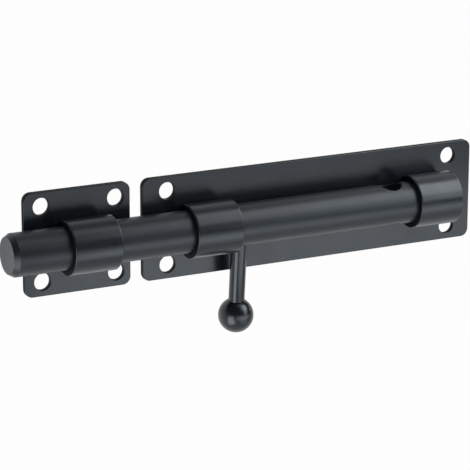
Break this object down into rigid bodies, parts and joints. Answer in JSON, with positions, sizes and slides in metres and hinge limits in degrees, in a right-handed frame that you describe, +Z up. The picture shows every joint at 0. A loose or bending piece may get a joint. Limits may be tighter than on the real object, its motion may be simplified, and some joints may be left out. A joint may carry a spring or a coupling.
{
  "type": "door bolt",
  "caption": "Surface-mounted sliding door bolt: a round bar with a padlock hole runs in rolled collars on a screw plate and into a keep plate with a collar, moved by a stem with a ball.",
  "frame": {"origin": "middle of the main plate's back face, which lies on the door", "axes": "+X along the bar, away from the keep; +Y into the door, square to the plates; +Z up"},
  "size_m": [0.2554, 0.0261, 0.0795],
  "materials": {
    "coated_sheet": "satin black powder coat on steel sheet",
    "coated_collar": "satin black powder coat on rolled steel strap",
    "coated_bar": "satin black powder coat on round steel bar",
    "coated_stem": "semi-gloss black coat on turned steel",
    "coated_ball": "semi-gloss black coat on a steel ball"
  },
  "bodies": {
    "plates": {"main_plate": "coated_sheet", "front_collar": "coated_collar", "rear_collar": "coated_collar", "keep_plate": "coated_sheet", "keep_collar": "coated_collar"},
    "bolt": {"bolt_bar": "coated_bar", "handle_stem": "coated_stem", "ball_knob": "coated_ball"}
  },
  "joints": [
    {"name": "bolt_slide", "type": "slide", "parent": "plates", "child": "bolt", "axis": [1, 0, 0], "range_m": [0, 0.0896]}
  ]
}
